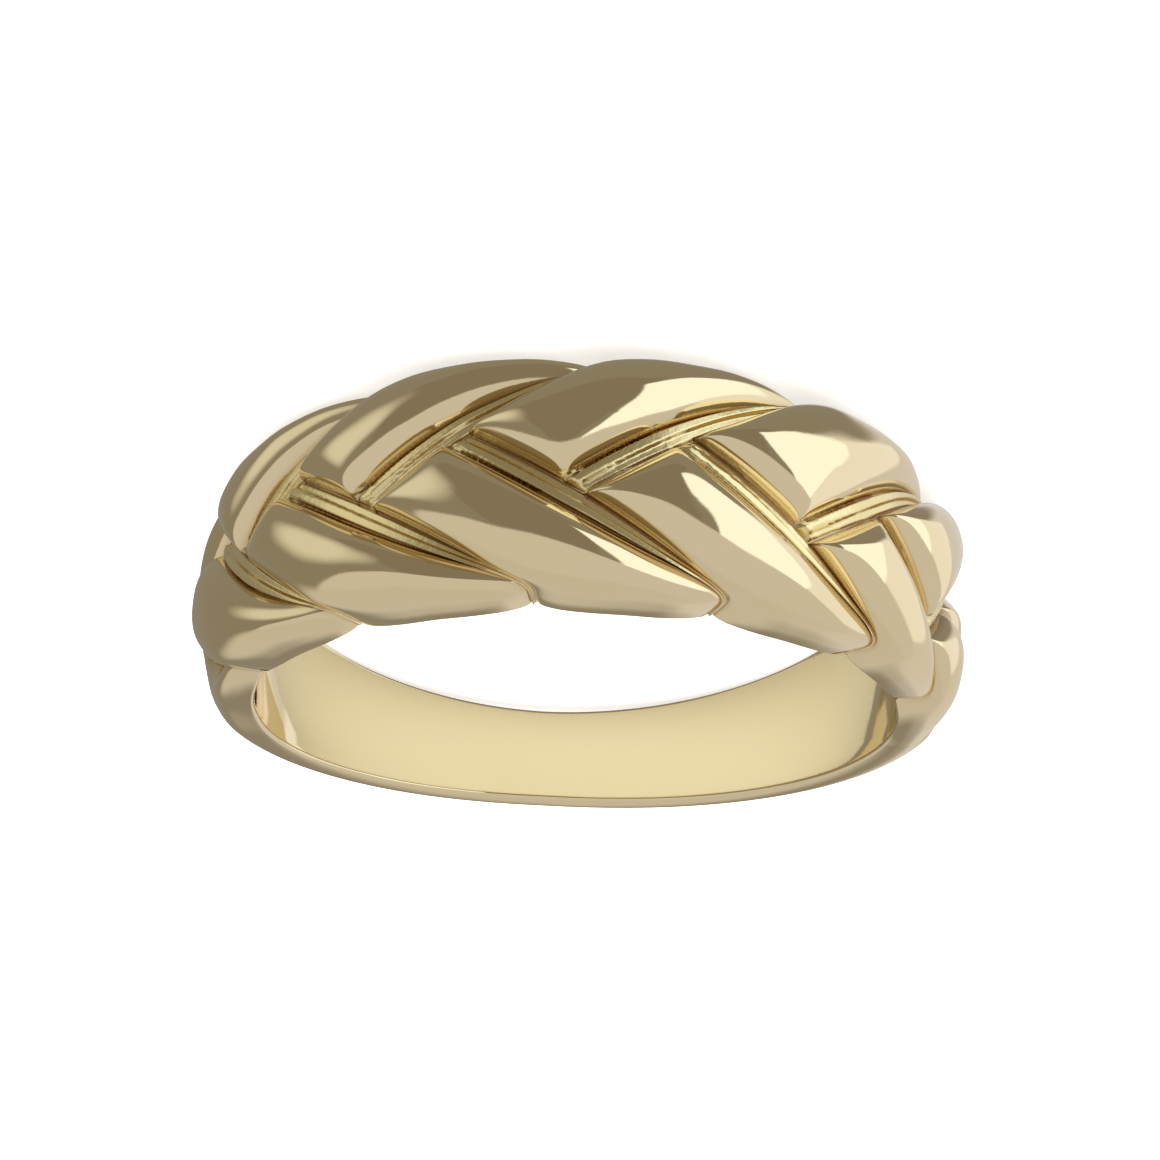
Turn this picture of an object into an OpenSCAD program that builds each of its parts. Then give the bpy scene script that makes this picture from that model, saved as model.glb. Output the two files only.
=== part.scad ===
// Braided band ring, cast in one piece, lying on its side.
// Units are millimetres and degrees, +Z is up, and the origin is the middle of the finger hole.
// The wide braided crown faces -Y and the plain narrow shank is at +Y.

/* [Finger] */
// Inside diameter of the bore, which sets the ring size
inside_diameter = 17.5; // [15:0.1:21]
// Bevel that breaks the two edges of the bore
bore_edge_bevel = 0.12; // [0.05:0.01:0.25]

/* [Band] */
// Width of the band at the crown, measured along the finger
crown_width = 6.62; // [5.2:0.02:8]
// Width of the band at the back of the shank
shank_width = 2.78; // [2.2:0.02:3.6]
// Metal over the bore at the crown, on the middle line of the band
crown_thickness = 2.9; // [2.4:0.02:3.6]
// Metal over the bore at the back of the shank
shank_thickness = 0.9; // [0.8:0.01:1.4]
// Height of the flat rim face at the crown
crown_rim_height = 0.6; // [0.4:0.02:0.9]
// Height of the flat rim face at the back of the shank
shank_rim_height = 0.4; // [0.3:0.01:0.6]
// How fast the width falls from the crown, where 1 is an even fall
width_taper = 0.81; // [0.7:0.01:1.1]
// How fast the thickness falls from the crown, where 1 is an even fall
thickness_taper = 1.19; // [0.9:0.01:1.4]
// Roundness of the band across its width, where 1 is an ellipse and less is fuller
dome_roundness = 0.6; // [0.5:0.01:1]

/* [Braid] */
// Depth of the grooves between the lobes, below the dome of the band
groove_depth = 0.95; // [0.4:0.01:1.05]
// Distance over which a lobe rises from its groove to its full height
lobe_rise = 1.15; // [0.7:0.01:1.4]
// Extra height of the lobes over the dome at the crown
lobe_swell = 0.16; // [0:0.01:0.3]
// Width of the small shelf that runs beside each groove
shelf_width = 0.6; // [0.4:0.01:0.75]
// Height of the shelf over the floor of its groove
shelf_height = 0.3; // [0.1:0.01:0.35]
// Angle a groove runs round the finger between the middle line and a rim
groove_run = 25; // [18:0.5:28]
// Further angle the groove curls just before the rim
groove_curl = 5; // [0:0.5:6]
// Share of the groove depth that is left at the rims
rim_depth_share = 0.32; // [0.1:0.01:0.4]
// Drop of the plain shank behind the first lobe, which leaves that lobe standing proud
shank_step = 0.25; // [0:0.01:0.3]
// Where the braid ends on the side its lobes start from
braid_start = 85.5; // [80:0.5:92]
// Where the braid ends on the side its lobes point to
braid_end = 84; // [80:0.5:92]
// Angle over which the relief fades into the plain shank
braid_fade = 14; // [8:0.5:18]

/* [Hidden] */
// Grooves on the two halves of the braid, as the angle from the crown at which each
// one crosses the middle line. Positive angles lie towards -X. The upper grooves lean to
// growing angles as they rise, and the lower grooves lean the other way.
upper_grooves = [-140, -98.5, -66.5, -41, -12, 18.5, 47.5, 78, 112];
lower_grooves = [-125, -88, -58.5, -30, 2.5, 39.5, 74, 102, 132];
// Grooves beyond this angle from the crown run less far round the finger
long_run_angle = 65;
// Share of the run that is lost at that angle, and the most that is ever lost
run_loss = 0.25;
most_run_loss = 0.3;
// The curl stays close to the rims by this power
curl_power = 20;
// The braid ends further back on the upper half than on the lower half
end_slant = 11.5;
// A lobe is narrower than its angle by the slope of the grooves
groove_slope = 29;
// Rounding power where the edges of a lobe meet at its head
head_power = 3;
// Shelf width lost at the rims, and the most of a lobe that its shelf may take
shelf_loss = 0.85;
most_shelf_share = 0.5;
// Distance over which a shelf ends where another groove cuts it off
shelf_foot = 0.15;
// Distance over which the drop of the plain shank sets in beside a groove
drop_run = 0.3;
// The grooves keep their depth until close to the rims, and then grow shallow this fast
rim_fade_power = 8;

bore_radius = inside_diameter / 2;
half_crown = crown_width / 2;
half_shank = shank_width / 2;
// Millimetres across a lobe for one degree round the finger, on the mid height of the dome
across_per_degree = (bore_radius + crown_thickness) * PI / 180 * sin(groove_slope);
// The ring rests on its lower rim, which is deeper under the crown than under the shank.
// It balances where this share of the crown shape is left, and leans by the slope of the
// rim there, a little more because the lobes stand proud of the rim near the crown.
balance_share = 0.73;
lobe_lean = 1.11;
rim_slope = (half_crown - half_shank) * width_taper * pow(balance_share, width_taper - 1) / 2;
rest_tilt = lobe_lean * atan(rim_slope / (bore_radius + crown_rim_height));

// Cells of the surface: over the dome of a lobe, over its shelf, from its shoulder out to
// the rim, and round the plain back of the ring
dome_cells = 10;
shelf_cells = 2;
rim_cells = 16;
shank_cells = 22;
cells = dome_cells + shelf_cells;
// The cells crowd towards the rims by this power
row_crowding = 1.35;
// Step in section angle over which the normal is taken, and where the dome ends
normal_step = 0.5;
rim_section = 89.9;
// Places where two patches meet are rounded to this length, so that they fall together
snap = 0.0001;
full_turn = 360;
core_overlap = 0.6;

gold_color = [0.83, 0.7, 0.42];

function clamp(x, low, high) = max(low, min(high, x));
function ease(x) = x * x * (3 - 2 * x);
// Share of the crown shape at an angle from the crown: 1 at the crown, 0 at the back
function crown_share(angle) = (1 + cos(angle)) / 2;
function half_width(angle) =
    half_shank + (half_crown - half_shank) * pow(crown_share(angle), width_taper);
function thickness(angle) =
    shank_thickness + (crown_thickness - shank_thickness) * pow(crown_share(angle), thickness_taper);
function rim_height(angle) =
    shank_rim_height + (crown_rim_height - shank_rim_height) * crown_share(angle);

// Cross-section of the plain dome as [radius, height], for a section angle from -90 to 90
function dome_point(angle, section) =
    let (rim = rim_height(angle))
    [
        bore_radius + rim + (thickness(angle) - rim) * pow(cos(section), dome_roundness),
        half_width(angle) * sin(section)
    ];

// Unit normal of that cross-section, taken from its neighbours
function dome_normal(angle, section) =
    abs(section) > rim_section
    ? [0, sign(section)]
    : let (
        ahead = dome_point(angle, min(section + normal_step, 90)),
        behind = dome_point(angle, max(section - normal_step, -90)),
        along = ahead - behind
    )
    [along[1], -along[0]] / norm(along);

// Angle a groove has run from the middle line at a share v of the half width
function run_share(crossing) =
    1 - min(most_run_loss, run_loss * pow(abs(crossing) / long_run_angle, 4));
function run_at(v) = sign(v) * (groove_run * abs(v) + groove_curl * pow(abs(v), curl_power));
// A groove is given as [angle on the middle line, 1 for an upper or -1 for a lower one]
function groove_line(groove, v) = groove[0] + groove[1] * run_share(groove[0]) * run_at(v);
// Share of the half width at which two grooves that lean towards each other meet
function meeting(first, second) =
    (second - first) / (run_share(first) + run_share(second)) / groove_run;

// Where the grooves meet above and below the middle line
last = len(upper_grooves) - 1;
tops = [for (i = [0 : last]) meeting(upper_grooves[i], lower_grooves[i])];
dips = [for (i = [0 : last]) -meeting(lower_grooves[i % last], upper_grooves[i % last + 1])];

// Each lobe is [groove behind it, groove over its head, groove ahead of it, side of its rim,
// then its corner, shoulder and tip as shares of the half width, and its drop]
lobes = [
    for (i = [1 : last])
        let (
            high = [[upper_grooves[i - 1], 1], [upper_grooves[i], 1]],
            low = [[lower_grooves[i - 1], -1], [lower_grooves[i], -1]],
            drop = i == 1 ? shank_step : 0
        )
        each [
            [high[0], low[0], high[1], 1, tops[i - 1], tops[i], dips[i - 1], drop],
            [low[0], high[1], low[1], -1, dips[i - 1], dips[i], tops[i], drop]
        ]
];
function behind(lobe) = lobe[0];
function over(lobe) = lobe[1];
function ahead(lobe) = lobe[2];
function side(lobe) = lobe[3];
function corner(lobe) = lobe[4];
function shoulder(lobe) = lobe[5];
function tip(lobe) = lobe[6];
function drop(lobe) = lobe[7];

// Distance in from three edges of a lobe, rounded off where they meet
function inset(a, b, c) =
    min(a, b, c) <= 0
    ? 0
    : pow(pow(a, -head_power) + pow(b, -head_power) + pow(c, -head_power), -1 / head_power);

function shelf_at(v) = shelf_width * (1 - shelf_loss * pow(abs(v), 3));

// Distances of a place from the three grooves round its lobe
function edges_at(lobe, angle, v) =
    [
        for (
            turn = [
                angle - groove_line(behind(lobe), v),
                angle - groove_line(over(lobe), v),
                groove_line(ahead(lobe), v) - angle
            ]
        )
            turn < snap ? 0 : turn * across_per_degree
    ];

// How much of the relief is left where the braid runs out into the shank, and at the rims
function braid_share(angle, v) =
    let (
        start = -(braid_start + end_slant * v),
        before = clamp((angle - start + braid_fade) / braid_fade, 0, 1),
        after = clamp((braid_end + braid_fade - angle) / braid_fade, 0, 1)
    )
    ease(before * after) * (1 - (1 - rim_depth_share) * pow(v, rim_fade_power));

// Height of the surface over the plain dome, below zero in the grooves
function relief(lobe, angle, v) =
    let (
        edges = edges_at(lobe, angle, v),
        shelf = shelf_at(v),
        rise = clamp(inset(edges[0], edges[1], edges[2] - shelf) / lobe_rise, 0, 1),
        dome = sqrt(1 - pow(1 - rise, 2)),
        across = clamp(edges[2] / shelf, 0, 1) * 2 - 1,
        foot = clamp(min(edges[0], edges[1]) / shelf_foot, 0, 1),
        ledge = foot * shelf_height * sqrt(max(0, 1 - pow(across, 2))),
        fall = drop(lobe) * clamp(min(edges[1], edges[2]) / drop_run, 0, 1),
        height = max(groove_depth * dome, ledge) - fall,
        swell = lobe_swell * dome * crown_share(angle)
    )
    braid_share(angle, v) * (height - groove_depth + swell);

// Places a [radius, height] pair at an angle from the crown
function around(angle, pair) =
    let (place = [-pair[0] * sin(angle), -pair[0] * cos(angle), pair[1]])
    [for (length = place) round(length / snap) * snap];

function outer_point(angle, v, height) =
    let (section = asin(clamp(v, -1, 1)))
    around(angle, dome_point(angle, section) + dome_normal(angle, section) * height);

// From 0 behind a lobe to 1 ahead of it: close steps at both feet of the dome, then the shelf
function across_share(place, shelf_share) =
    let (
        dome = (1 - cos(180 * clamp(place / dome_cells, 0, 1))) / 2,
        shelf = clamp((place - dome_cells) / shelf_cells, 0, 1)
    )
    (1 - shelf_share) * dome + shelf_share * shelf;

// Share of the half width on a row between a start and the rim
function row_at(start, rim, row) =
    let (section = asin(rim * start))
    rim * sin(90 - (90 - section) * pow(1 - row / rim_cells, row_crowding));

// A place on a row from a left to a right share of the half width, as [angle, share]
function row_place(lobe, left_groove, left, right, place) =
    let (
        left_angle = groove_line(left_groove, left),
        right_angle = groove_line(ahead(lobe), right),
        width = max(snap, (groove_line(ahead(lobe), left) - left_angle) * across_per_degree),
        x = across_share(place, min(most_shelf_share, shelf_at(left) / width))
    )
    [left_angle + x * (right_angle - left_angle), left + x * (right - left)];

// Rows 0 and up go from the shoulder line to the rim, and rows below 0 go under the other
// row's groove to the tip, each with one cell less
function lobe_place(lobe, row, cell) =
    row >= 0
    ? row_place(
        lobe, behind(lobe), row_at(corner(lobe), side(lobe), row),
        row_at(shoulder(lobe), side(lobe), row), cell
    )
    : let (sink = -row / cells)
    row_place(
        lobe, over(lobe), corner(lobe) + (tip(lobe) - corner(lobe)) * sink,
        shoulder(lobe) + (tip(lobe) - shoulder(lobe)) * sink, cell * cells / max(1, cells + row)
    );
function lobe_points(lobe) =
    [
        for (row = [0 : rim_cells + cells])
            let (signed = row > rim_cells ? rim_cells - row : row)
            for (cell = [0 : cells + min(0, signed)])
                let (place = lobe_place(lobe, signed, cell))
                outer_point(place[0], place[1], relief(lobe, place[0], place[1]))
    ];
function lobe_index(row, cell) =
    row >= 0
    ? row * (cells + 1) + cell
    : (rim_cells - row) * (cells + 1) - row * (row + 1) / 2 + cell;
function turned(face, way) = way > 0 ? face : [face[0], face[2], face[1]];
function lobe_faces(way) =
    [
        for (row = [0 : rim_cells - 1])
            for (cell = [0 : cells - 1])
                let (near = lobe_index(row, cell), far = lobe_index(row + 1, cell))
                each [turned([near, near + 1, far + 1], way), turned([near, far + 1, far], way)],
        for (row = [0 : -1 : 1 - cells])
            for (cell = [0 : cells + row - 1])
                let (near = lobe_index(row, cell), under = lobe_index(row - 1, cell))
                each [
                    turned([near, under, near + 1], way),
                    if (cell < cells + row - 1) turned([near + 1, under, under + 1], way)
                ]
    ];

// The plain back of the ring, from the last lobes round to the first ones. Its ends follow
// the grooves there, as [angle, share of the half width] from the upper rim to the lower.
function end_line(high_groove, low_groove, high_start, low_start) =
    [
        for (row = [rim_cells : -1 : 0])
            let (v = row_at(high_start, 1, row))
            [groove_line(high_groove, v), v],
        for (cell = [1 : cells])
            let (v = high_start + (low_start - high_start) * cell / cells)
            [groove_line(low_groove, v), v],
        for (row = [1 : rim_cells])
            let (v = row_at(low_start, -1, row))
            [groove_line(low_groove, v), v]
    ];
high_end = lobes[2 * last - 2];
low_end = lobes[2 * last - 1];
shank_rows = 2 * rim_cells + cells;
shank_from = end_line(ahead(high_end), ahead(low_end), shoulder(high_end), shoulder(low_end));
shank_to = end_line(behind(lobes[0]), behind(lobes[1]), corner(lobes[0]), corner(lobes[1]));
function shank_place(step, row) =
    shank_from[row] + (shank_to[row] + [full_turn, 0] - shank_from[row]) * step / shank_cells;
shank_points = [
    for (step = [0 : shank_cells])
        for (row = [0 : shank_rows])
            let (place = shank_place(step, row))
            outer_point(place[0], place[1], 0)
];
shank_faces = [
    for (step = [0 : shank_cells - 1])
        for (row = [0 : shank_rows - 1])
            let (near = step * (shank_rows + 1) + row, far = near + shank_rows + 1)
            each [[near, near + 1, far + 1], [near, far + 1, far]]
];

// The edge of one rim, as [angle, height of the relief] round the finger
function rim_line(way) =
    [
        for (lobe = lobes)
            if (side(lobe) == way)
                for (cell = [0 : cells - 1])
                    let (place = lobe_place(lobe, rim_cells, cell))
                    [place[0], relief(lobe, place[0], place[1])],
        for (step = [0 : shank_cells - 1])
            [shank_place(step, way > 0 ? 0 : shank_rows)[0], 0]
    ];
// Each rim runs from its outer edge over the flat face and the bevel to inside the bore,
// and a shallow cone closes it there until the ring is bored
function rim_points(way) =
    [
        for (place = rim_line(way))
            let (
                angle = place[0],
                height = half_width(angle) + place[1],
                inner = bore_radius - core_overlap,
                sunk = bore_edge_bevel + core_overlap
            )
            each [
                outer_point(angle, way, place[1]),
                around(angle, [bore_radius + bore_edge_bevel, way * height]),
                around(angle, [inner, way * (height - sunk)])
            ],
        [0, 0, way * half_shank / 2]
    ];
rim_columns = last * cells + shank_cells;
function rim_faces(way) =
    [
        for (column = [0 : rim_columns - 1])
            let (near = column * 3, next = (column + 1) % rim_columns * 3)
            each [
                for (step = [0, 1])
                    each [
                        turned([near + step, next + step, next + step + 1], way),
                        turned([near + step, next + step + 1, near + step + 1], way)
                    ],
                turned([near + 2, next + 2, rim_columns * 3], way)
            ]
    ];

// The patches one after the other, each as [points, faces]
patches = [
    for (lobe = lobes)
        [lobe_points(lobe), lobe_faces(side(lobe))],
    [shank_points, shank_faces],
    [rim_points(1), rim_faces(1)],
    [rim_points(-1), rim_faces(-1)]
];
function sizes_before(count) = count == 0 ? 0 : sizes_before(count - 1) + len(patches[count - 1][0]);

// The band before it is bored
module solid_band() {
    points = [for (patch = patches) each patch[0]];
    faces = [
        for (i = [0 : len(patches) - 1])
            let (offset = sizes_before(i), shift = [offset, offset, offset])
            for (face = patches[i][1]) face + shift
    ];
    polyhedron(points = points, faces = faces, convexity = 8);
}

// The finished ring, bored for the finger and leaned as it rests on the ground
module braided_band() {
    color(gold_color)
    rotate([-rest_tilt, 0, 0])
    difference() {
        solid_band();
        cylinder(r = bore_radius, h = crown_width * 2, center = true, $fn = 180);
    }
}

braided_band();
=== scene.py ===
import math
import bpy
import numpy as np
from mathutils import Matrix, Vector


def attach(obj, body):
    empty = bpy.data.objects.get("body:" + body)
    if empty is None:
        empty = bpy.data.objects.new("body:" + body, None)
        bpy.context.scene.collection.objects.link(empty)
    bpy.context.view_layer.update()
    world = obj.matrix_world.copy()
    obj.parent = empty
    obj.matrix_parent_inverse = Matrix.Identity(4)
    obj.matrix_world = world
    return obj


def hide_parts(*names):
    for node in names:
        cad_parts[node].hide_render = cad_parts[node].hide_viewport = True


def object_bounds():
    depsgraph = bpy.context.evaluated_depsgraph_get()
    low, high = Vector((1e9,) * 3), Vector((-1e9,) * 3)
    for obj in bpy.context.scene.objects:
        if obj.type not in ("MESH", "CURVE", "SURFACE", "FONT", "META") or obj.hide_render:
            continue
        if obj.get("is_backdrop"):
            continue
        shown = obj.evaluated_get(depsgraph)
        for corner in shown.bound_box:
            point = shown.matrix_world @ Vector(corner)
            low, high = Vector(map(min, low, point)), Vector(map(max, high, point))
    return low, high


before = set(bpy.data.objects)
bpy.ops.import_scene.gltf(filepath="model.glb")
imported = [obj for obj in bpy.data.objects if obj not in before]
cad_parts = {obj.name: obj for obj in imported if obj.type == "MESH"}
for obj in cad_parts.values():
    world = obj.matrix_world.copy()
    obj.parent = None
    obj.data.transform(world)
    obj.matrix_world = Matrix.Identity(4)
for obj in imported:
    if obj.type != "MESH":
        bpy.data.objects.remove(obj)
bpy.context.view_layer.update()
print("frame loaded")

millimetre = 0.001
tiny = 1e-4  # a smaller angle or distance counts as nothing

# The ring. Lengths in millimetres and angles in degrees, the same as the solid's.
# Angles go round the finger from the crown, growing towards -X.
# The last four are steps of the mesh: round the bevel, down the bore, along the dome
# where its slope is taken, and how many steps of the weld go to a millimetre.
ringSizes = {
    "boreRadius": 8.75, "boreBevel": 0.12,
    "halfCrown": 3.31, "halfShank": 1.39, "widthTaper": 0.81,
    "crownThick": 2.90, "shankThick": 0.90, "thickTaper": 1.19,
    "crownRim": 0.60, "shankRim": 0.40, "domeRoundness": 0.60,
    "balanceShare": 0.73, "lobeLean": 1.11, "rimTurn": 89.9,
    "bevelTurns": (8.0, 26.0, 45.0, 64.0, 82.0), "boreRows": (0, 0.02, 0.10, 0.50, 0.90, 0.98, 1),
    "slopeStep": 0.009, "weldSteps": 1e4,
}

# The braid. Each number in the two lists is where a groove crosses the middle line.
braidSizes = {
    "upper": [-140, -98.5, -66.5, -41, -12, 18.5, 47.5, 78, 112],
    "lower": [-125, -88, -58.5, -30, 2.5, 39.5, 74, 102, 132],
    "run": 25.0, "curl": 5.0, "curlPower": 20, "slope": 29.0,
    "runLoss": 0.25, "runLossAt": 65, "mostRunLoss": 0.3,
    "depth": 0.95, "rise": 1.15, "swell": 0.16, "step": 0.25, "stepLength": 0.3,
    "shelfWidth": 0.60, "shelfTaper": 0.85, "mostShelf": 0.5, "shelfHeight": 0.30, "shelfEnd": 0.12,
    "stepPlace": 0.42, "lowBand": 0.42, "highBand": 0.86, "bandTilt": 0.14,
    "lowSteepness": 9, "highSteepness": 11, "backSteepness": 8,
    "start": 85.5, "end": 84.0, "fade": 14.0, "endSlant": 11.5, "rimShare": 0.32, "rimFade": 8,
    "castGrain": 0.010, "knotGrain": 0.04, "polishWave": 0.014,
    "backKnot": 0.55, "frontKnot": 0.45, "knotEdge": 0.04, "grooveReach": 2.2, "creaseShadeWidth": 0.05,
    "domeCells": 32, "shelfCells": 22, "rimCells": 58, "shankCells": 70, "rimCrowding": 1.35,
}

# Waves in the relief. Each pattern has a seed, a scale and its share. The waves turn this much
# along the ring for each degree and across it for each half width.
castPatterns = {
    "grain": ((3, 1.0, 1), (8, 2.6, 0.6)),
    "knot": ((5, 7.0, 1), (6, 19.0, 0.5)),
    "polish": ((11, 2.0, 1),),
    "waves": 10, "along": 0.19, "across": 3.3, "phase": 6.28, "level": 4,
}


def crownShare(angle):
    # 1 at the crown and 0 at the back: half of one plus the cosine
    return (1 + np.cos(np.radians(angle))) / 2


def halfWidth(angle, s):
    # shank + (crown - shank) * crown share^taper
    return s["halfShank"] + (s["halfCrown"] - s["halfShank"]) * crownShare(angle) ** s["widthTaper"]


def domeSection(angle, section, s):
    # radius = bore + rim + (thickness - rim) * cos(section)^roundness, height = half width * sin(section)
    share = crownShare(angle)
    thick = s["shankThick"] + (s["crownThick"] - s["shankThick"]) * share ** s["thickTaper"]
    rim = s["shankRim"] + (s["crownRim"] - s["shankRim"]) * share
    arc = np.maximum(np.cos(section), 0) ** s["domeRoundness"]
    return s["boreRadius"] + rim + (thick - rim) * arc, halfWidth(angle, s) * np.sin(section)


def runShare(crossing, b):
    # grooves far from the crown run less far round the finger, by the fourth power of their distance
    return 1 - np.minimum(b["mostRunLoss"], b["runLoss"] * (np.abs(crossing) / b["runLossAt"]) ** 4)


def grooveLine(groove, v, b):
    # where a groove lies at the share v of the half width: it runs evenly, with a curl near the rim
    middle, side = groove
    reach = b["run"] * np.abs(v) + b["curl"] * np.abs(v) ** b["curlPower"]
    return middle + side * runShare(middle, b) * np.sign(v) * reach


def meetingShare(first, second, b):
    # the share of the half width at which two grooves that lean towards each other meet,
    # first without their curl and then with it, in three rounds
    gap = (second - first) / (runShare(first, b) + runShare(second, b))
    v = gap / b["run"]
    for _ in range(3):
        v = (gap - b["curl"] * v ** b["curlPower"]) / b["run"]
    return v


def listLobes(b):
    # each lobe has a groove behind it, one of the other row over its head, and one that ends it;
    # the last lobe's tip lies in the plain shank and takes the first one's place
    up, low, lobes = b["upper"], b["lower"], []
    tops = [meetingShare(u, d, b) for u, d in zip(up, low)]
    dips = [-meetingShare(d, u, b) for d, u in zip(low, up[1:])]
    dips.append(dips[0])
    for i in range(1, len(up)):
        lobes.append({
            "behind": (up[i - 1], 1), "over": (low[i - 1], -1), "ahead": (up[i], 1), "rim": 1,
            "corner": tops[i - 1], "shoulder": tops[i], "tip": dips[i - 1], "first": i == 1})
        lobes.append({
            "behind": (low[i - 1], -1), "over": (up[i], 1), "ahead": (low[i], -1), "rim": -1,
            "corner": dips[i - 1], "shoulder": dips[i], "tip": tops[i], "first": i == 1})
    return lobes


def shelfWidth(v, b):
    # the shelf beside a groove narrows towards the rim, by the cube of the share of the half width
    return b["shelfWidth"] * (1 - b["shelfTaper"] * np.abs(v) ** 3)


def acrossShare(place, shelfShare, b):
    # from 0 behind a lobe to 1 ahead of it: half a cosine wave over the dome, then even steps over the shelf
    dome = (1 - np.cos(np.pi * np.clip(place / b["domeCells"], 0, 1))) / 2
    shelf = np.clip((place - b["domeCells"]) / b["shelfCells"], 0, 1)
    return (1 - shelfShare) * dome + shelfShare * shelf


def rowEnds(start, rim, share, b):
    # shares of the half width from the start to the rim, closer together near the rim
    section = math.asin(rim * start)
    return rim * np.sin(math.pi / 2 - (math.pi / 2 - section) * (1 - share) ** b["rimCrowding"])


def lobeRows(lobe, leftGroove, left, right, place, b, perDegree):
    # places between a left and a right end, as an angle and a share of the half width
    leftAngle, rightAngle = grooveLine(leftGroove, left, b), grooveLine(lobe["ahead"], right, b)
    width = np.maximum((grooveLine(lobe["ahead"], left, b) - leftAngle) * perDegree, tiny)
    x = acrossShare(place, np.minimum(shelfWidth(left, b) / width, b["mostShelf"]), b)
    return leftAngle + x * (rightAngle - leftAngle), left + x * (right - left)


def roundedInset(p, q, r):
    # distance in from three edges: the cube root of one over the sum of their inverse cubes
    inside = np.minimum(np.minimum(p, q), r) > 0
    total = sum(np.maximum(x, tiny) ** -3 for x in (p, q, r)) ** (-1 / 3)
    return np.where(inside, total, 0)


def castNoise(angle, v, kind, n):
    # each pattern is a sum of crossed sine waves with fixed random phases, about -1 to 1
    total = 0
    for seed, scale, share in n[kind]:
        rng = np.random.default_rng(seed)
        pattern = np.zeros(np.shape(angle))
        for _ in range(n["waves"]):
            a, c = rng.normal(size=2)
            place = a * angle * n["along"] + c * v * n["across"]
            pattern += np.sin(place * scale + rng.uniform(0, n["phase"]))
        total = total + share * (pattern / n["level"])
    return total


def lobeHeight(lobe, angle, v, b, perDegree):
    # a lobe is a quarter circle rise from its edges, and beside the groove that ends it run two flat bands
    turns = [angle - grooveLine(lobe["behind"], v, b), angle - grooveLine(lobe["over"], v, b),
             grooveLine(lobe["ahead"], v, b) - angle]
    p, q, r = [np.where(turn < tiny, 0, turn) * perDegree for turn in turns]
    shelf = shelfWidth(v, b)
    rise = np.clip(roundedInset(p, q, r - shelf) / b["rise"], 0, 1)
    dome = np.sqrt(1 - (1 - rise) ** 2)
    across = np.clip(r / shelf, 0, 1)
    low = np.clip(across * b["lowSteepness"], 0, 1)
    high = np.clip((across - b["stepPlace"]) * b["highSteepness"], 0, 1)
    back = np.clip((1 - across) * b["backSteepness"], 0, 1)
    ends = low * back * np.clip(np.minimum(p, q) / b["shelfEnd"], 0, 1)
    bands = b["lowBand"] + (b["highBand"] - b["lowBand"]) * high + b["bandTilt"] * across
    ledge = b["shelfHeight"] * bands * ends
    drop = b["step"] * np.clip(np.minimum(q, r) / b["stepLength"], 0, 1) if lobe["first"] else 0
    # knots, where two grooves meet, are bell curves of the distance from both
    nearest = np.minimum(np.minimum(p, q), r)
    knot = np.exp(-((p + q) / b["backKnot"]) ** 2) + np.exp(-((q + r) / b["frontKnot"]) ** 2)
    knot = knot * np.clip(nearest / b["knotEdge"], 0, 1)
    # the crease marks, which carry painted shade, are the lobe's own edges and the foot of its dome on the ledge
    edge = np.exp(-(nearest / b["creaseShadeWidth"]) ** 2)
    foot = np.exp(-((r - shelf) / b["creaseShadeWidth"]) ** 2)
    return np.maximum(b["depth"] * dome, ledge) - drop, dome, knot, np.maximum(edge, foot)


def braidShare(angle, v, b):
    # how much of the relief is left where it runs out into the shank, and at the rims
    before = np.clip((angle + b["start"] + b["endSlant"] * v + b["fade"]) / b["fade"], 0, 1)
    after = np.clip((b["end"] + b["fade"] - angle) / b["fade"], 0, 1)
    both = before * after
    return both * both * (3 - 2 * both) * (1 - (1 - b["rimShare"]) * v ** b["rimFade"])


def restMatrix(s):
    # the ring leans by the slope of its lower rim where it balances
    slope = (s["halfCrown"] - s["halfShank"]) * s["widthTaper"] * s["balanceShare"] ** (s["widthTaper"] - 1) / 2
    tilt = s["lobeLean"] * math.atan(slope / (s["boreRadius"] + s["crownRim"]))
    return Matrix.Rotation(-tilt, 3, "X")


def around(angle, radius, height):
    # a place from an angle round the finger, a radius and a height, with the crown at -Y
    turned = np.radians(angle)
    return np.stack([-radius * np.sin(turned), -radius * np.cos(turned), height], -1).reshape(-1, 3)


def outerPoints(angle, v, relief, s):
    # the dome moved along its own normal by the relief
    section = np.arcsin(np.clip(v, -1, 1))
    radius, height = domeSection(angle, section, s)
    ahead = domeSection(angle, np.minimum(section + s["slopeStep"], math.pi / 2), s)
    behind = domeSection(angle, np.maximum(section - s["slopeStep"], -math.pi / 2), s)
    alongR, alongZ = ahead[0] - behind[0], ahead[1] - behind[1]
    length = np.hypot(alongR, alongZ)
    atRim = np.abs(section) > math.radians(s["rimTurn"])
    normalR = np.where(atRim, 0, alongZ / length)
    normalZ = np.where(atRim, np.sign(v), -alongR / length)
    return around(angle, radius + normalR * relief, height + normalZ * relief)


def gridQuads(columns, rows, flip):
    # one quad for each cell of a grid whose points are listed column by column
    i, j = np.meshgrid(np.arange(columns - 1), np.arange(rows - 1), indexing="ij")
    first = i * rows + j
    quads = np.stack([first, first + 1, first + rows + 1, first + rows], -1).reshape(-1, 4)
    return quads[:, ::-1] if flip else quads


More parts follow.
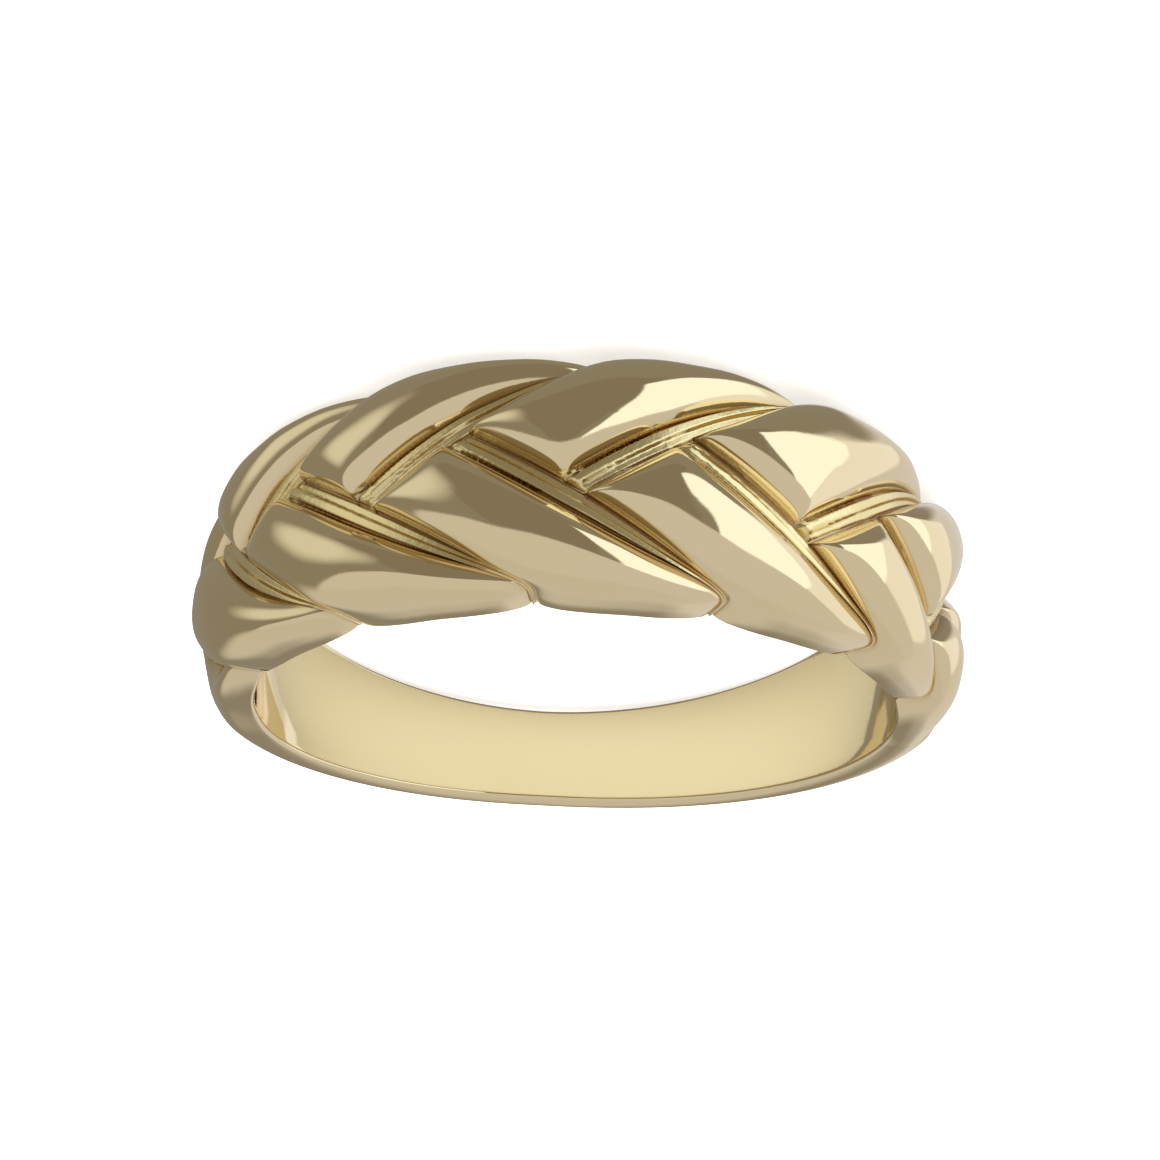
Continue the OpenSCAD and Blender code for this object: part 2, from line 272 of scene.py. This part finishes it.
def lobePatch(lobe, s, b, n, perDegree):
    # rows from the shoulder line out to the rim, and a triangle of shorter rows under the other row's groove
    cells, steps = b["domeCells"] + b["shelfCells"], b["rimCells"]
    share = np.linspace(0, 1, steps + 1)[:, None]
    place = np.arange(cells + 1)[None, :]
    body = lobeRows(lobe, lobe["behind"], rowEnds(lobe["corner"], lobe["rim"], share, b),
                    rowEnds(lobe["shoulder"], lobe["rim"], share, b), place, b, perDegree)
    row, spot = np.nonzero(np.add.outer(np.arange(cells + 1), np.arange(cells + 1)) <= cells)
    sink = row / cells
    left = lobe["corner"] + (lobe["tip"] - lobe["corner"]) * sink
    right = lobe["shoulder"] + (lobe["tip"] - lobe["shoulder"]) * sink
    spread = spot * cells / np.maximum(cells - row, 1)
    head = lobeRows(lobe, lobe["over"], left, right, spread, b, perDegree)
    angle, v = [np.concatenate([x.ravel(), y]) for x, y in zip(body, head)]
    quads = gridQuads(steps + 1, cells + 1, lobe["rim"] > 0)
    starts = body[0].size + np.cumsum(np.concatenate([[0], cells + 1 - np.arange(cells + 1)]))
    near = starts[row] + spot
    under = starts[row + 1] + spot
    points = np.stack([near, near + 1, under], -1)[row + spot < cells]
    between = np.stack([near + 1, under + 1, under], -1)[row + spot < cells - 1]
    corners = np.concatenate([points, between])
    if lobe["rim"] < 0:
        corners = corners[:, ::-1]

    height, dome, knot, creaseShade = lobeHeight(lobe, angle, v, b, perDegree)
    ends = braidShare(angle, v, b)
    groove = ends * np.clip(1 - dome * b["grooveReach"], 0, 1)
    grain = groove * (b["castGrain"] * castNoise(angle, v, "grain", n)
                      + b["knotGrain"] * knot * castNoise(angle, v, "knot", n))
    # the wheel leaves the lobes a little wavy
    wave = b["polishWave"] * dome * castNoise(angle, v, "polish", n)
    relief = ends * (height - b["depth"] + b["swell"] * dome * crownShare(angle) + wave) + grain
    # the crease share sets painted shade; the groove share sets cast grain, roughness and a painted bounce-light
    # tint
    marks = np.stack([groove, creaseShade * ends], -1)
    return outerPoints(angle, v, relief, s), marks, quads, corners, body[0][-1]


def shankPatch(lobes, s, b):
    # the plain back of the ring, between the last grooves and the first ones
    share = np.linspace(0, 1, b["rimCells"] + 1)
    between = np.linspace(0, 1, b["domeCells"] + b["shelfCells"] + 1)[1:]
    sides = ((lobes[-2], lobes[-1], "ahead", "shoulder"), (lobes[0], lobes[1], "behind", "corner"))
    ends = []
    for lobeTop, lobeLow, key, corner in sides:
        high = rowEnds(lobeTop[corner], 1, share, b)[::-1]
        deep = rowEnds(lobeLow[corner], -1, share, b)[1:]
        middle = high[-1] + (lobeLow[corner] - high[-1]) * between
        rest = np.concatenate([middle, deep])
        angles = np.concatenate([grooveLine(lobeTop[key], high, b), grooveLine(lobeLow[key], rest, b)])
        ends.append((angles, np.concatenate([high, rest])))
    part = np.linspace(0, 1, b["shankCells"] + 1)[:, None]
    angle = ends[0][0] + part * (ends[1][0] + 360 - ends[0][0])
    v = ends[0][1] + part * (ends[1][1] - ends[0][1])
    quads = gridQuads(angle.shape[0], angle.shape[1], True)
    return outerPoints(angle.ravel(), v.ravel(), 0, s), quads, angle[:, 0], angle[:, -1]


def borePatch(topAngle, lowAngle, topRim, lowRim, s):
    # a quarter circle at each rim and a straight wall between them, with its rows close together at the rims
    bevel, bore = s["boreBevel"], s["boreRadius"]
    topAngle, lowAngle = topAngle[:, None], lowAngle[:, None]
    top, low = topRim[:, 2:], lowRim[:, 2:]
    turn = np.radians(np.array([s["bevelTurns"]]))
    edge = bore + bevel * (1 - np.sin(turn)) + 0 * top
    t = np.array([s["boreRows"]])
    angle = np.hstack([topAngle + 0 * edge, topAngle * (1 - t) + lowAngle * t, lowAngle + 0 * edge])
    radius = np.hstack([edge, bore + 0 * t * top, edge[:, ::-1]])
    height = np.hstack([top - bevel * (1 - np.cos(turn)), (top - bevel) * (1 - t) + (low + bevel) * t,
                        low + bevel * (1 - np.cos(turn[:, ::-1]))])
    inner = around(angle, radius, height).reshape(angle.shape + (3,))
    return np.concatenate([topRim[:, None], inner, lowRim[:, None]], axis=1)


def ringMesh(s, b, n):
    # patches whose edges lie in the grooves, welded where their edge points fall together
    # perDegree is how far across a groove one degree round the finger goes
    perDegree = (s["boreRadius"] + s["crownThick"]) * math.pi / 180 * math.sin(math.radians(b["slope"]))
    lobes = listLobes(b)
    points, marks, quads, corners, count = [], [], [], [], 0
    rims = {1: [], -1: []}
    for lobe in lobes:
        place, mark, four, three, rimAngle = lobePatch(lobe, s, b, n, perDegree)
        edge = place[:(b["rimCells"] + 1) * len(rimAngle)].reshape(-1, len(rimAngle), 3)[-1]
        rims[lobe["rim"]].append((rimAngle[:-1], edge[:-1]))
        points.append(place)
        marks.append(mark)
        quads.append(four + count)
        corners.append(three + count)
        count += len(place)
    place, four, topAngle, lowAngle = shankPatch(lobes, s, b)
    edge = place.reshape(b["shankCells"] + 1, -1, 3)
    rims[1].append((topAngle, edge[:, 0]))
    rims[-1].append((lowAngle, edge[:, -1]))
    points.append(place)
    quads.append(four + count)
    count += len(place)
    (topAngle, topRim), (lowAngle, lowRim) = [[np.concatenate(x) for x in zip(*rims[k])] for k in (1, -1)]
    bore = borePatch(topAngle, lowAngle, topRim, lowRim, s)
    points.append(bore.reshape(-1, 3))
    quads.append(gridQuads(bore.shape[0], bore.shape[1], False) + count)

    points, marks, quads, corners = [np.concatenate(x) for x in (points, marks, quads, corners)]
    marks = np.concatenate([marks, np.zeros((len(points) - len(marks), 2))])
    steps = np.round(points * s["weldSteps"]).astype(np.int64)
    _, kept, welded = np.unique(steps, axis=0, return_index=True, return_inverse=True)
    welded = welded.ravel()
    lean = np.array(restMatrix(s))
    return points[kept] @ lean.T * millimetre, marks[kept], welded[quads], welded[corners]


def meshFrom(name, points, quads, corners=None):
    # a smooth piece of quads and, after them, triangles
    loops = quads.ravel() if corners is None else np.concatenate([quads.ravel(), corners.ravel()])
    starts = np.arange(0, quads.size, 4)
    if corners is not None:
        starts = np.concatenate([starts, quads.size + np.arange(0, corners.size, 3)])
    mesh = bpy.data.meshes.new(name)
    mesh.vertices.add(len(points))
    mesh.vertices.foreach_set("co", points.astype(np.float32).ravel())
    mesh.loops.add(len(loops))
    mesh.loops.foreach_set("vertex_index", loops.astype(np.int32))
    mesh.polygons.add(len(starts))
    mesh.polygons.foreach_set("loop_start", starts.astype(np.int32))
    mesh.update(calc_edges=True)
    mesh.validate()
    mesh.polygons.foreach_set("use_smooth", np.ones(len(mesh.polygons), dtype=bool))
    piece = bpy.data.objects.new(name, mesh)
    bpy.context.scene.collection.objects.link(piece)
    return piece


class Wire:
    # a shader socket that takes part in Python sums
    def __init__(self, graph, socket):
        self.graph, self.socket = graph, socket

    def math(self, operation, other=0.0, swap=False):
        pair = (other, self) if swap else (self, other)
        return self.graph.node("ShaderNodeMath", {"operation": operation}, {0: pair[0], 1: pair[1]}).out()

    def __add__(self, other):
        return self.math("ADD", other)

    def __radd__(self, other):
        return self.math("ADD", other)

    def __sub__(self, other):
        return self.math("SUBTRACT", other)

    def __rsub__(self, other):
        return self.math("SUBTRACT", other, swap=True)

    def __mul__(self, other):
        return self.math("MULTIPLY", other)

    def __rmul__(self, other):
        return self.math("MULTIPLY", other)

    def __truediv__(self, other):
        return self.math("DIVIDE", other)

    def __rtruediv__(self, other):
        return self.math("DIVIDE", other, swap=True)

    def __abs__(self):
        return self.math("ABSOLUTE")

    def vector(self, operation, values, output=0):
        return self.graph.node("ShaderNodeVectorMath", {"operation": operation}, {0: self, **values}).out(output)


class Made:
    # a node that is set and linked, and gives its outputs
    def __init__(self, graph, node):
        self.graph, self.node = graph, node

    def out(self, name=0):
        return Wire(self.graph, self.node.outputs[name])


class Graph:
    # the node tree of a material or of the world
    def __init__(self, owner):
        self.owner = owner
        owner.use_nodes = True
        self.tree = owner.node_tree
        self.tree.nodes.clear()

    def node(self, kind, settings=None, values=None):
        # settings first, and then the values or the links of the sockets
        made = self.tree.nodes.new(kind)
        for key, value in (settings or {}).items():
            setattr(made, key, value)
        for key, value in (values or {}).items():
            if isinstance(value, Wire):
                self.tree.links.new(value.socket, made.inputs[key])
            else:
                made.inputs[key].default_value = value
        return Made(self, made)

    def noise(self, place, scale, detail, softness):
        # clouds between 0 and 1
        return self.node("ShaderNodeTexNoise", None, {
            "Vector": place, "Scale": scale, "Detail": detail, "Roughness": softness}).out("Fac")

    def mixColour(self, factor, first, second):
        # sockets 0, 6 and 7 of a colour Mix are its factor and its two colours
        return self.node("ShaderNodeMix", {"data_type": "RGBA"}, {0: factor, 6: first, 7: second}).out(2)

    def finish(self, shader, kind="ShaderNodeOutputMaterial"):
        self.node(kind, None, {"Surface": shader.out()})
        return self.owner


# The gold. Distances of the bumps in metres.
goldLook = {
    "bright": (0.89, 0.755, 0.495, 1), "warm": (0.87, 0.73, 0.45, 1),
    # the groove colour is a painted bounce-light tint: deeper yellow, as light bounced between the groove walls
    # looks
    "groove": (0.91, 0.77, 0.40, 1), "grooveBounceStrength": 0.85,
    # the crease colour is painted shade, laid along the lobes' edges and the feet of their domes
    "creaseShade": (0.34, 0.17, 0.08, 1), "creaseShadeStrength": 0.75,
    "roughness": 0.06, "patchRoughness": 0.03, "scratchRoughness": 0.03, "grooveRoughness": 0.20,
    "patchScale": 160, "patchDetail": 3.0, "patchSoftness": 0.5,
    "scratchScale": 2400, "scratchDetail": 4.0, "scratchStretch": (1.0, 0.35, 2.2),
    "grainScale": 5200, "grainDetail": 2.0, "fineSoftness": 0.6,
    "scratchBump": (0.05, 0.00002), "grainBump": (0.25, 0.00004),
}


def goldMaterial(look):
    # polished gold, a little patchy and scratched, with cast grain in the grooves, the grooves tinted a deeper
    # yellow as painted bounce light, and painted shade along the creases
    g = Graph(bpy.data.materials.new("polishedGold"))
    place = g.node("ShaderNodeTexCoord").out("Object")
    groove = g.node("ShaderNodeAttribute", {"attribute_name": "grooveShare"}).out("Fac")
    stretched = g.node("ShaderNodeMapping", None, {"Vector": place, "Scale": look["scratchStretch"]}).out()
    patch = g.noise(place, look["patchScale"], look["patchDetail"], look["patchSoftness"])
    scratch = g.noise(stretched, look["scratchScale"], look["scratchDetail"], look["fineSoftness"])
    grain = g.noise(place, look["grainScale"], look["grainDetail"], look["fineSoftness"])
    body = g.mixColour(patch, look["bright"], look["warm"])
    creaseShade = g.node("ShaderNodeAttribute", {"attribute_name": "creaseShadeShare"}).out("Fac")
    # painted bounce light: the grooves are tinted a deeper yellow than the lobes
    bounceTinted = g.mixColour(groove * look["grooveBounceStrength"], body, look["groove"])
    # painted shade: dark along the creases
    colour = g.mixColour(creaseShade * look["creaseShadeStrength"], bounceTinted, look["creaseShade"])
    # polished lobes, softer in the grooves where the wheel does not reach
    rough = (look["roughness"] + (patch - 0.5) * look["patchRoughness"]
             + (scratch - 0.5) * look["scratchRoughness"] + groove * look["grooveRoughness"])
    (fineStrength, fineDepth), (castStrength, castDepth) = look["scratchBump"], look["grainBump"]
    fine = g.node("ShaderNodeBump", None,
                  {"Strength": fineStrength, "Distance": fineDepth, "Height": scratch}).out()
    grainy = g.node("ShaderNodeBump", None, {"Strength": castStrength, "Distance": castDepth,
                                             "Height": grain * groove, "Normal": fine}).out()
    shader = g.node("ShaderNodeBsdfPrincipled", None,
                    {"Base Color": colour, "Roughness": rough, "Metallic": 1.0, "Normal": grainy})
    return g.finish(shader)


points, marks, quads, corners = ringMesh(ringSizes, braidSizes, castPatterns)
braidedRing = meshFrom("braidedRing", points, quads, corners)
# the crease share paints shade along the creases, and the groove share paints a bounce-light tint into the
# grooves
for name, column in (("grooveShare", 0), ("creaseShadeShare", 1)):
    share = braidedRing.data.attributes.new(name, "FLOAT", "POINT")
    share.data.foreach_set("value", marks[:, column].astype(np.float32))
braidedRing.data.materials.append(goldMaterial(goldLook))
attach(braidedRing, "root")
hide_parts("braided_band")
print("ring made:", len(points), "points,", 2 * len(quads) + len(corners), "triangles")

# The table under the ring, its size in metres
floorLook = {
    "size": 1.6, "colour": (0.90, 0.90, 0.89, 1), "speckle": (0.87, 0.87, 0.86, 1),
    "speckleScale": 40.0, "speckleDetail": 3.0, "speckleSoftness": 0.5, "roughness": 0.6,
    "glow": (1.0, 1.0, 0.99, 1), "glowStrength": 0.60,
}


def floorMaterial(look):
    # a table lit from below, so that shadows on it stay pale
    g = Graph(bpy.data.materials.new("paleTable"))
    place = g.node("ShaderNodeTexCoord").out("Object")
    cloud = g.noise(place, look["speckleScale"], look["speckleDetail"], look["speckleSoftness"])
    colour = g.mixColour(cloud, look["colour"], look["speckle"])
    shader = g.node("ShaderNodeBsdfPrincipled", None, {
        "Base Color": colour, "Roughness": look["roughness"],
        "Emission Color": look["glow"], "Emission Strength": look["glowStrength"]})
    return g.finish(shader)


def makeFloor(look, height):
    # one square, which the polished metal doesn't mirror
    half = look["size"] / 2
    places = np.array([[x * half, y * half, height] for x, y in ((-1, -1), (1, -1), (1, 1), (-1, 1))])
    table = meshFrom("paleTable", places, np.array([[0, 1, 2, 3]]))
    table.data.materials.append(floorMaterial(look))
    table.visible_glossy = False
    table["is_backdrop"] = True


makeFloor(floorLook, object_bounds()[0].z)

# Soft light from all round, made of cards seen from the ring. A later card hides an earlier one.
# Angles in degrees: azimuth from +Y towards +X and elevation over the table.
# A round card is full within the first angle and gone at the second.
# A flat card has half its width, half its height and the softness of its edge instead.
softLights = {
    "room": (0.28, 0.26, 0.22),
    "cards": {
        "farWall": (320, 0, (30, 50, 0.15), (0.70, 0.68, 0.68)),
        "ceiling": (0, 90, (64, 68), (0.66, 0.64, 0.64)),
        "farCeiling": (20, 40, (25, 40), (0.62, 0.60, 0.58)),
        "cameraSide": (170, -20, (35, 42, 0.08), (0.25, 0.22, 0.18)),
        "leftPanel": (105, -20, (12, 34), (0.75, 0.74, 0.68)),
        "window": (280, -10, (25, 35, 0.12), (0.95, 0.95, 0.98)),
        "brightWindow": (235, -8, (27, 36, 0.06), (1.15, 1.25, 1.35)),
    },
    "sunPower": 3.0, "sunAngle": 110, "sunFrom": (0.05, 0.10, 1.0),
}


def cardShare(ray, azimuth, elevation, reach):
    # 1 inside the card and 0 outside
    a, e = math.radians(azimuth), math.radians(elevation)
    aim = Vector((math.sin(a) * math.cos(e), math.cos(a) * math.cos(e), math.sin(e)))
    ahead = ray.vector("DOT_PRODUCT", {1: aim}, "Value")
    if len(reach) == 2:
        near, far = math.cos(math.radians(reach[1])), math.cos(math.radians(reach[0]))
        inside = ahead
    else:
        # the ray crosses the card's plane within it where it goes ahead further than sideways or up
        axes = (Vector((math.cos(a), -math.sin(a), 0)), aim.cross(Vector((-math.cos(a), math.sin(a), 0))))
        spread = [abs(ray.vector("DOT_PRODUCT", {1: axis / math.tan(math.radians(half))}, "Value"))
                  for axis, half in zip(axes, reach)]
        near, far = 1 - reach[2], 1 + reach[2]
        inside = ahead / spread[0].math("MAXIMUM", spread[1])
    return ray.graph.node("ShaderNodeMapRange", {"interpolation_type": "SMOOTHSTEP"},
                          {"Value": inside, "From Min": near, "From Max": far}).out("Result")


def lightWorld(look):
    # the cards laid over the plain room one after another
    g = Graph(bpy.data.worlds.new("softRoom"))
    ray = g.node("ShaderNodeTexCoord").out("Generated").vector("NORMALIZE", {})
    total = (*look["room"], 1)
    for azimuth, elevation, reach, colour in look["cards"].values():
        total = g.mixColour(cardShare(ray, azimuth, elevation, reach), total, (*colour, 1))
    light = g.node("ShaderNodeBackground", None, {"Color": total, "Strength": 1.0})
    return g.finish(light, "ShaderNodeOutputWorld")


# A plain pale sheet lies inside the ring, on the table, where the polished bore mirrors it
sheetLook = {"radius": 8.3, "lift": 0.01, "sides": 128, "colour": (0.62, 0.63, 0.58, 1), "roughness": 0.7}


def makeInsideSheet(c, height):
    # a disc of wedges from its rim to its middle
    turn = np.linspace(0, 360, c["sides"], endpoint=False)
    rim = around(turn, c["radius"], 0 * turn) * millimetre
    places = np.concatenate([rim, np.zeros((1, 3))]) + [0, 0, height + c["lift"] * millimetre]
    near = np.arange(c["sides"])
    wedges = np.stack([np.roll(near, -1), near, 0 * near + c["sides"]], -1)
    sheet = meshFrom("insideSheet", places, np.zeros((0, 4), dtype=int), wedges)
    g = Graph(bpy.data.materials.new("insideSheet"))
    sheet.data.materials.append(g.finish(g.node(
        "ShaderNodeBsdfPrincipled", None, {"Base Color": c["colour"], "Roughness": c["roughness"]})))
    sheet.visible_camera = sheet.visible_diffuse = sheet.visible_shadow = False
    sheet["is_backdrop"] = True


def addSun(look):
    # a wide soft sun lifts the table to near white, and the polished metal doesn't mirror it
    sun = bpy.data.lights.new("softSun", "SUN")
    sun.energy, sun.angle = look["sunPower"], math.radians(look["sunAngle"])
    lamp = bpy.data.objects.new("softSun", sun)
    lamp.rotation_euler = Vector(look["sunFrom"]).to_track_quat("Z", "Y").to_euler()
    lamp.visible_glossy = False
    bpy.context.scene.collection.objects.link(lamp)


bpy.context.scene.world = lightWorld(softLights)
bpy.context.scene.view_settings.view_transform = "Standard"
addSun(softLights)
makeInsideSheet(sheetLook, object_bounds()[0].z)

# The camera looks at the crown from above the table, rolled over as in the photograph
cameraSet = {
    "fromAxis": 66.15, "roll": 0.77, "crownTurn": 5.6, "distance": 0.150,
    "pixelsPerMetre": 36400.0, "frame": 1160.0, "originPixel": (576.27, 633.14), "sensor": 36.0,
    "nearest": 0.005, "farthest": 20,
}


def makeCamera(c, s):
    # the fitted axes are turned into the world, and the lens and its shifts put the ring's middle at its pixel
    lean = restMatrix(s)
    away, roll, turn = (math.radians(c[k]) for k in ("fromAxis", "roll", "crownTurn"))

    def ringToWorld(v):
        # the camera was fitted with x to the right, y to the crown and z to the near rim
        x = math.cos(turn) * v[0] - math.sin(turn) * v[1]
        y = math.sin(turn) * v[0] + math.cos(turn) * v[1]
        return lean @ Vector((-x, -y, v[2]))

    back = Vector((0, math.sin(away), math.cos(away)))
    side = Vector((1, 0, 0))
    up = back.cross(side)
    side, up = side * math.cos(roll) + up * math.sin(roll), up * math.cos(roll) - side * math.sin(roll)
    back, side, up = ringToWorld(back), ringToWorld(side), ringToWorld(up)
    lens = bpy.data.cameras.new("photoCamera")
    lens.sensor_width = c["sensor"]
    lens.lens = c["pixelsPerMetre"] * c["distance"] / c["frame"] * c["sensor"]
    lens.shift_x = (c["frame"] / 2 - c["originPixel"][0]) / c["frame"]
    lens.shift_y = (c["originPixel"][1] - c["frame"] / 2) / c["frame"]
    lens.clip_start, lens.clip_end = c["nearest"], c["farthest"]
    camera = bpy.data.objects.new("photoCamera", lens)
    turned = Matrix((side, up, back)).transposed().to_4x4()
    camera.matrix_world = Matrix.Translation(back * c["distance"]) @ turned
    bpy.context.scene.collection.objects.link(camera)
    bpy.context.scene.camera = camera


makeCamera(cameraSet, ringSizes)
print("table, lights and camera placed")
